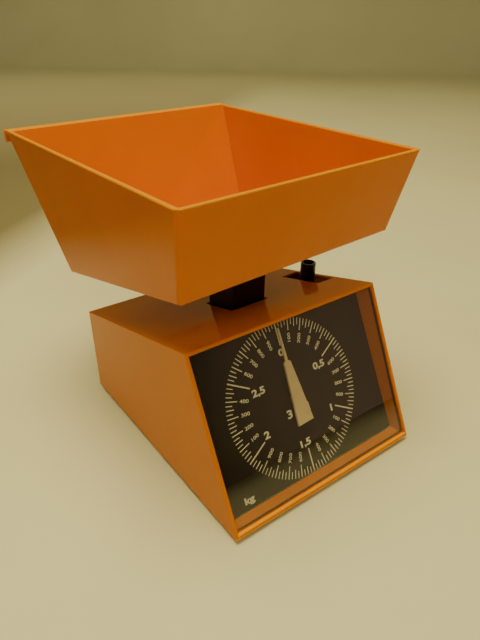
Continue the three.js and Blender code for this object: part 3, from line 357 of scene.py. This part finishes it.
SLOT_MATERIALS = {
    "orange_plastic": ORANGE,
    "clear_plastic": WINDOW,
    "dial_print": DIAL,
    "pointer_paint": POINTER,
    "black_plastic": BLACK,
    "rubber": RUBBER,
    "zinc_steel": ZINC,
    "brass": BRASS,
    "bright_steel": STEEL,
}
slot_of = {entry["node"]: entry["material_slot"] for entry in frame["record"]["subparts"]}
body_of = {
    node: body for body, nodes in frame["record"]["behaviour"]["bodies"].items() for node in nodes
}
for name, cad in frame["nodes"].items():
    cad.data.materials.clear()
    cad.data.materials.append(SLOT_MATERIALS[slot_of[name]])

# ---------------------------------------------------------------- pieces

# The edge material is a painted highlight on the housing and tray, and a painted dark shade on the window.
EDGE_INDEX = 1  # place of the edge material on a piece that has one


def new_piece(name, mesh, body, slot, material=None):
    """An object that rides on a body, in its slot's material or in its own."""
    piece = bpy.data.objects.new(name, mesh)
    bpy.context.scene.collection.objects.link(piece)
    mesh.materials.clear()
    mesh.materials.append(material or SLOT_MATERIALS[slot])
    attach(piece, body)
    return piece


def clean_copy(node):
    """The CAD node's mesh with its flat faces whole again."""
    SAME_POINT = 1e-6
    FLAT = math.radians(1)
    mesh = frame["nodes"][node].data.copy()
    work = bmesh.new()
    work.from_mesh(mesh)
    bmesh.ops.remove_doubles(work, verts=work.verts, dist=SAME_POINT)
    bmesh.ops.dissolve_limit(
        work, angle_limit=FLAT, verts=work.verts, edges=work.edges, use_dissolve_boundaries=False
    )
    if node == "tray":
        thicken_rim(work)
    work.to_mesh(mesh)
    work.free()
    return mesh


def thicken_rim(work):
    """The tray's walls grow a little thicker inwards, up to the rim."""
    RIM_SCALE = 0.99
    RIM_DEPTH = 0.1 * MM
    WALL_RISE = 0.7  # a wall's normal points up or down less than this
    centre = (tray_low + tray_high).xy / 2
    inner = set()
    for face in work.faces:
        outwards = face.calc_center_median().xy - centre
        if abs(face.normal.z) < WALL_RISE and face.normal.xy.dot(outwards) < 0:
            inner.update(point for point in face.verts if point.co.z > tray_high.z - RIM_DEPTH)
    for point in inner:
        point.co.xy = centre + (point.co.xy - centre) * RIM_SCALE


def bevelled(node, width=0.0, segments=3, material=None, radius_of=None):
    """Stands for a CAD node, with the same shape and rounded edges.

    All sharp edges are rounded by width, or each by its own radius if radius_of is given. That
    function takes an edge's two ends and whether the edge is convex.
    """
    SHARP = math.radians(20)
    piece = new_piece(node + "_fine", clean_copy(node), body_of[node], slot_of[node], material)
    mesh = piece.data
    bevel = piece.modifiers.new("edges", "BEVEL")
    bevel.segments = segments
    if radius_of:
        work = bmesh.new()
        work.from_mesh(mesh)
        radii = [0.0] * len(work.edges)
        for edge in work.edges:
            if edge.calc_face_angle(0) > SHARP:
                first, second = edge.verts
                radii[edge.index] = radius_of(first.co, second.co, edge.is_convex)
        work.free()
        bevel.use_clamp_overlap = False
        bevel.limit_method = "WEIGHT"
        bevel.width = max(radii)
        weights = mesh.attributes.new("bevel_weight_edge", "FLOAT", "EDGE")
        weights.data.foreach_set("value", [radius / bevel.width for radius in radii])
    else:
        bevel.use_clamp_overlap = True
        bevel.limit_method = "ANGLE"
        bevel.angle_limit = SHARP
        bevel.width = width
    for polygon in mesh.polygons:
        polygon.use_smooth = True
    normals = piece.modifiers.new("normals", "WEIGHTED_NORMAL")
    normals.weight = 100
    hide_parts(node)
    return piece


def upright(first, second):
    """True for an edge of a wall's corner: long, and much steeper than it is wide."""
    LONG = 25 * MM
    STEEP = 0.6
    along = second - first
    return along.length > LONG and abs(along.z) > STEEP * along.length


def in_front_lip(place):
    """True on the narrow lip along the foot of the housing's front, which also gets the painted highlight.
    """
    LIP_DEPTH = 3 * MM
    LIP_HEIGHT = 6 * MM
    return place.y < shell_low.y + LIP_DEPTH and place.z < shell_low.z + LIP_HEIGHT


def in_rim(place):
    """True on the tray's rim and the rounding beside it, which get the painted highlight."""
    RIM_DEPTH = 1.2 * MM
    return place.z > tray_high.z - RIM_DEPTH


def tray_radius(first, second, convex):
    """Well rounded front corners, a round rim, and nearly sharp edges on the rear lip."""
    LIP_DEPTH = 18 * MM  # how far forward the rear lip of the turned tray reaches
    FRONT_OUTSIDE = 3.0 * MM
    FRONT_INSIDE = 2.0 * MM
    REAR_LIP = 0.15 * MM
    RIM = 0.9 * MM
    middle = (first + second) / 2
    if upright(first, second) and middle.y < 0:
        return FRONT_OUTSIDE if convex else FRONT_INSIDE
    if middle.y > tray_high.y - LIP_DEPTH:
        return REAR_LIP
    return RIM


def housing_radius(first, second, convex):
    """A round front lip, rounded upright corners, and a thin rounding elsewhere."""
    WIDE = 100 * MM
    FRONT_LIP = 1.6 * MM
    CORNER = 1.1 * MM
    ELSEWHERE = 0.35 * MM
    middle = (first + second) / 2
    if abs((second - first).x) > WIDE and convex and in_front_lip(middle):
        return FRONT_LIP
    if upright(first, second) and convex:
        return CORNER
    return ELSEWHERE


def window():
    """The clear sheet, whose sawn edges get a painted dark shade."""
    BROAD = 0.5  # the sheet's broad faces look along its own direction more than this
    piece = bevelled("dial_window", 0.2 * MM, segments=2)
    piece.data.materials.append(WINDOW_EDGE_SHADE)
    outward = face_matrix().to_3x3() @ Vector((0, 0, 1))
    for polygon in piece.data.polygons:
        polygon.use_smooth = False
        if abs(polygon.normal.dot(outward)) < BROAD:
            polygon.material_index = EDGE_INDEX


def paint_edge_highlight(piece, material, gets_painted_highlight):
    """Gives the paler material, a painted highlight, to every face whose corners all lie where the
    highlight goes.

    The rounded edges become part of the mesh first, so that they are among its faces.
    """
    graph = bpy.context.evaluated_depsgraph_get()
    normals = piece.modifiers["normals"]
    normals.show_viewport = False
    mesh = bpy.data.meshes.new_from_object(piece.evaluated_get(graph))
    normals.show_viewport = True
    piece.modifiers.remove(piece.modifiers["edges"])
    piece.data = mesh
    mesh.materials.append(material)
    for polygon in mesh.polygons:
        if all(gets_painted_highlight(mesh.vertices[i].co) for i in polygon.vertices):
            polygon.material_index = EDGE_INDEX


# The front lip gets the paler copy of the plastic: a painted highlight.
paint_edge_highlight(bevelled("housing_shell", radius_of=housing_radius), ORANGE_LIP_HIGHLIGHT, in_front_lip)
# The rim and its rounding get the yellower copy of the plastic: a painted highlight.
paint_edge_highlight(
    bevelled("tray", segments=4, material=ORANGE_TRAY_SHADED, radius_of=tray_radius), ORANGE_RIM_HIGHLIGHT, in_rim
)
bevelled("platform_post", 0.5 * MM)
bevelled("platform_seat", 0.4 * MM)
bevelled("pointer", 0.22 * MM, segments=2)
bevelled("zero_knob", 0.35 * MM, material=KNOB_BLACK)
window()

# ---------------------------------------------------------------- dial print

PRINT_HEIGHT = 0.04 * MM
TICK_COUNT = 120
TICKS = {  # length and width in mm by how round the weight in grams is
    "500": (15.5, 0.85),
    "100": (7.6, 0.62),
    "50": (5.3, 0.58),
    "25": (4.2, 0.55),
}


def tick_kind(step):
    """The key in TICKS of the tick so many steps of 25 g after zero."""
    if step % 20 == 0:
        return "500"
    if step % 4 == 0:
        return "100"
    if step % 2 == 0:
        return "50"
    return "25"


def dial_ticks():
    """The ring of 120 ticks, 25 g apart, which end on one circle."""
    work = bmesh.new()
    for step in range(TICK_COUNT):
        length, width = TICKS[tick_kind(step)]
        turn = Matrix.Rotation(-2 * math.pi * step / TICK_COUNT, 4, "Z")
        centre = Matrix.Translation((0, RING_RADIUS - length * MM / 2, PRINT_HEIGHT / 2))
        size = Matrix.Diagonal((width * MM, length * MM, PRINT_HEIGHT, 1))
        bmesh.ops.create_cube(work, size=1, matrix=turn @ centre @ size)
    mesh = bpy.data.meshes.new("dial_ticks")
    work.to_mesh(mesh)
    work.free()
    mesh.transform(dial_matrix() @ Matrix.Translation((RING_X, RING_Y, 0)))
    new_piece("dial_ticks", mesh, "housing", "dial_print", PRINT)


def lettering(name, text, height, place, turn=0.0, weight=0.0, wide=1.0):
    """Flat text on the dial plate, centred on place, with digits of the given height.

    weight thickens the strokes, and wide stretches the text sideways.
    """
    DIGIT_PART = 0.73  # digit height over font size
    curve = bpy.data.curves.new(name, "FONT")
    curve.body = text
    curve.size = height / DIGIT_PART
    curve.align_x = "CENTER"
    curve.align_y = "BOTTOM_BASELINE"
    curve.offset = weight
    curve.extrude = PRINT_HEIGHT / 2
    curve.resolution_u = 4
    holder = bpy.data.objects.new(name + "_text", curve)
    bpy.context.scene.collection.objects.link(holder)
    bpy.context.view_layer.update()
    graph = bpy.context.evaluated_depsgraph_get()
    mesh = bpy.data.meshes.new_from_object(holder.evaluated_get(graph))
    bpy.data.objects.remove(holder)
    bpy.data.curves.remove(curve)
    shape = Matrix.Diagonal((wide, 1, 1, 1)) @ Matrix.Translation((0, -height / 2, 0))
    at = Matrix.Translation((place[0], place[1], PRINT_HEIGHT / 2))
    mesh.transform(dial_matrix() @ at @ Matrix.Rotation(turn, 4, "Z") @ shape)
    mesh.name = name
    new_piece(name, mesh, "housing", "dial_print", PRINT)


BIG_NUMERALS = {  # centre on the plate and height, in mm
    "0": ((-2.3, 29.6), 4.3),
    "0,5": ((22.6, 13.3), 4.3),
    "1": ((23.5, -15.4), 4.3),
    "1,5": ((-2.9, -27.8), 4.3),
    "2": ((-27.2, -12.4), 4.5),
    "2,5": ((-24.8, 13.4), 4.3),
    "3": ((-8.0, -7.3), 5.1),
}


def kilogram_numerals():
    """The large numerals, upright on the plate."""
    for text, ((x, y), height) in BIG_NUMERALS.items():
        name = "numeral_" + text.replace(",", "_")
        lettering(name, text, height * MM, (x * MM, y * MM), weight=0.2 * MM, wide=1.32)


def gram_numerals():
    """100 to 400 and 600 to 900 g in each kilogram, written along the ring's radius.

    Those on the left half are turned over, so that none stands on its head.
    """
    RADIUS = 35.9 * MM
    HEIGHT = 2.15 * MM
    HUNDREDS = 30
    for step in range(1, HUNDREDS):
        if step % 5 == 0:
            continue
        angle = 2 * math.pi * step / HUNDREDS
        centre = (RING_X + RADIUS * math.sin(angle), RING_Y + RADIUS * math.cos(angle))
        turn = math.pi / 2 - angle
        if angle > math.pi:
            turn += math.pi
        text = str(step % 10 * 100)
        name = f"numeral_small_{step}"
        lettering(name, text, HEIGHT, centre, turn, weight=0.05 * MM, wide=1.4)


dial_ticks()
kilogram_numerals()
gram_numerals()
lettering("unit_mark", "kg", 3.9 * MM, (-50 * MM, -41.6 * MM), weight=0.22 * MM, wide=1.4)

# ---------------------------------------------------------------- stage


def table():
    """Table top that curves up into a far wall, as one sheet."""
    HALF = 3.0
    WALL_Y = 2.2
    WALL_Z = 2.2
    CORNER = 0.3
    STEPS = 12
    profile = [(-HALF, 0.0), (WALL_Y - CORNER, 0.0)]
    for step in range(1, STEPS + 1):
        angle = math.pi / 2 * step / STEPS
        profile.append((WALL_Y - CORNER + CORNER * math.sin(angle), CORNER - CORNER * math.cos(angle)))
    profile.append((WALL_Y, WALL_Z))
    points = []
    faces = []
    for y, z in profile:
        points += [(-HALF, y, z), (HALF, y, z)]
    for i in range(len(profile) - 1):
        faces.append((2 * i, 2 * i + 1, 2 * i + 3, 2 * i + 2))
    mesh = bpy.data.meshes.new("table")
    mesh.from_pydata(points, [], faces)
    for polygon in mesh.polygons:
        polygon.use_smooth = True
    sheet = bpy.data.objects.new("table", mesh)
    bpy.context.scene.collection.objects.link(sheet)
    mesh.materials.append(table_top())
    sheet.matrix_world = Matrix.Rotation(TABLE_TURN, 4, "Z")


def area_light(name, power, size, place, target, colour):
    """A rectangular lamp at place, turned towards target."""
    data = bpy.data.lights.new(name, "AREA")
    data.shape = "RECTANGLE"
    data.size, data.size_y = size
    data.energy = power
    data.color = colour[:3]
    light = bpy.data.objects.new(name, data)
    light.location = place
    light.rotation_mode = "QUATERNION"
    light.rotation_quaternion = (Vector(target) - Vector(place)).to_track_quat("-Z", "Y")
    bpy.context.scene.collection.objects.link(light)
    return light


def lights():
    """A broad lamp overhead, a weaker one from the front left and a weak one from behind."""
    BODY = (0, 0, 0.08)
    TRAY = (0, 0, 0.12)
    area_light(
        "overhead",
        power=28.5,
        size=(0.8, 0.8),
        place=(-0.12, 0.1, 1.5),
        target=BODY,
        colour=rgb(252, 241, 182),
    )
    front = area_light(
        "front",
        power=9,
        size=(1.0, 0.8),
        place=(-0.6, -1.0, 1.2),
        target=BODY,
        colour=rgb(252, 239, 182),
    )
    front.visible_glossy = False  # no white panel mirrored in the window
    area_light(
        "rim",
        power=3,
        size=(1.6, 0.8),
        place=(0.85, 1.1, 0.85),
        target=TRAY,
        colour=rgb(252, 230, 154),
    )


def surroundings():
    """A dim warm room, lighter overhead, with a soft glow low on the front right."""
    ROOM_LOW = rgb(84, 70, 50)
    ROOM_HIGH = rgb(190, 176, 140)
    HIGH_FROM = 0.9
    ROOM_STRENGTH = 0.26
    GLOW_AZIMUTH = math.radians(136)
    GLOW_RISE = 0.1
    GLOW_EDGE = 0.93  # cosine of the angle at which the glow begins
    GLOW_COLOUR = (1.5, 1.0, 0.55, 1.0)
    world = bpy.data.worlds.new("room")
    bpy.context.scene.world = world
    world.use_nodes = True
    tree = world.node_tree
    background = tree.nodes["Background"]
    coords = tree.nodes.new("ShaderNodeTexCoord")
    parts = tree.nodes.new("ShaderNodeSeparateXYZ")
    ramp = tree.nodes.new("ShaderNodeValToRGB")
    towards = tree.nodes.new("ShaderNodeVectorMath")
    spread = tree.nodes.new("ShaderNodeMapRange")
    mixed = tree.nodes.new("ShaderNodeMix")
    tree.links.new(coords.outputs["Generated"], parts.inputs[0])
    tree.links.new(parts.outputs["Z"], ramp.inputs[0])
    low, high = ramp.color_ramp.elements
    low.position = 0.0
    low.color = ROOM_LOW
    high.position = HIGH_FROM
    high.color = ROOM_HIGH
    towards.operation = "DOT_PRODUCT"
    towards.inputs[1].default_value = (math.sin(GLOW_AZIMUTH), math.cos(GLOW_AZIMUTH), GLOW_RISE)
    tree.links.new(coords.outputs["Generated"], towards.inputs[0])
    spread.interpolation_type = "SMOOTHSTEP"
    spread.inputs["From Min"].default_value = GLOW_EDGE
    tree.links.new(towards.outputs["Value"], spread.inputs["Value"])
    mixed.data_type = "RGBA"
    tree.links.new(spread.outputs["Result"], mixed.inputs[0])
    tree.links.new(ramp.outputs[0], mixed.inputs[6])
    mixed.inputs[7].default_value = GLOW_COLOUR
    tree.links.new(mixed.outputs[2], background.inputs["Color"])
    background.inputs["Strength"].default_value = ROOM_STRENGTH


def camera():
    """Three-quarter view from the front left, above."""
    PLACE = Vector((-185.1, -264.4, 253.1)) * MM
    AZIMUTH = math.radians(37.38)  # from +Y towards +X
    ELEVATION = math.radians(-30.64)
    ROLL = math.radians(1.14)
    data = bpy.data.cameras.new("camera")
    data.sensor_fit = "AUTO"
    data.sensor_width = 36
    data.lens = 31.1
    data.clip_start = 0.01
    ahead = Vector(
        (
            math.sin(AZIMUTH) * math.cos(ELEVATION),
            math.cos(AZIMUTH) * math.cos(ELEVATION),
            math.sin(ELEVATION),
        )
    )
    look = ahead.to_track_quat("-Z", "Y").to_matrix().to_4x4()
    item = bpy.data.objects.new("camera", data)
    item.location = PLACE
    item.rotation_mode = "QUATERNION"
    item.rotation_quaternion = (look @ Matrix.Rotation(ROLL, 4, "Z")).to_quaternion()
    bpy.context.scene.collection.objects.link(item)
    bpy.context.scene.camera = item


table()
surroundings()
lights()
camera()
